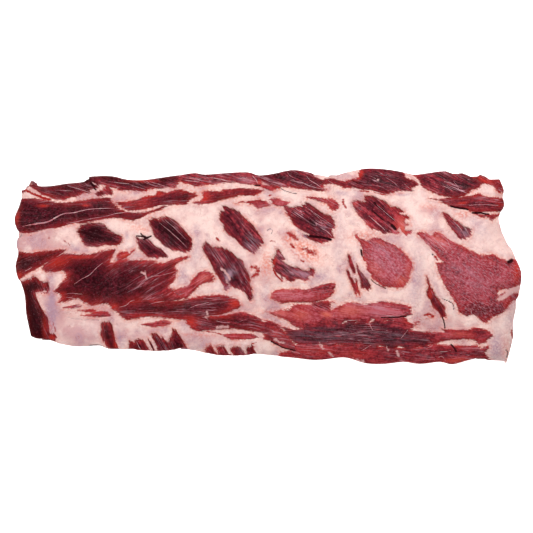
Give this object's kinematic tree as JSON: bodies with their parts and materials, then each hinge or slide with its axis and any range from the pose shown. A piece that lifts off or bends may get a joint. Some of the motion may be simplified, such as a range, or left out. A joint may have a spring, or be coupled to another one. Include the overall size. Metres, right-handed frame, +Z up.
{
  "type": "raw beef back ribs",
  "caption": "Rack of raw beef back ribs, sawn through the bones along both long edges and lying meaty side up, with muscle showing between and over its fat.",
  "frame": {"origin": "middle of the rack's footprint, on the surface it lies on", "axes": "+Z up, out of the meaty side; +X along the rack, across its ribs; +Y towards the long edge with the thin strip of muscle"},
  "size_m": [0.451, 0.1742, 0.0424],
  "materials": {
    "meat": "moist raw muscle, dark red",
    "fat": "moist fat, pale pink",
    "bone": "sawn bone, ivory with red marrow"
  },
  "bodies": {
    "root": {"rib_meat": "meat", "rib_bone_1": "bone", "rib_bone_2": "bone", "rib_bone_3": "bone", "rib_bone_4": "bone", "rib_bone_5": "bone", "rib_bone_6": "bone", "rib_bone_7": "bone"}
  },
  "joints": []
}
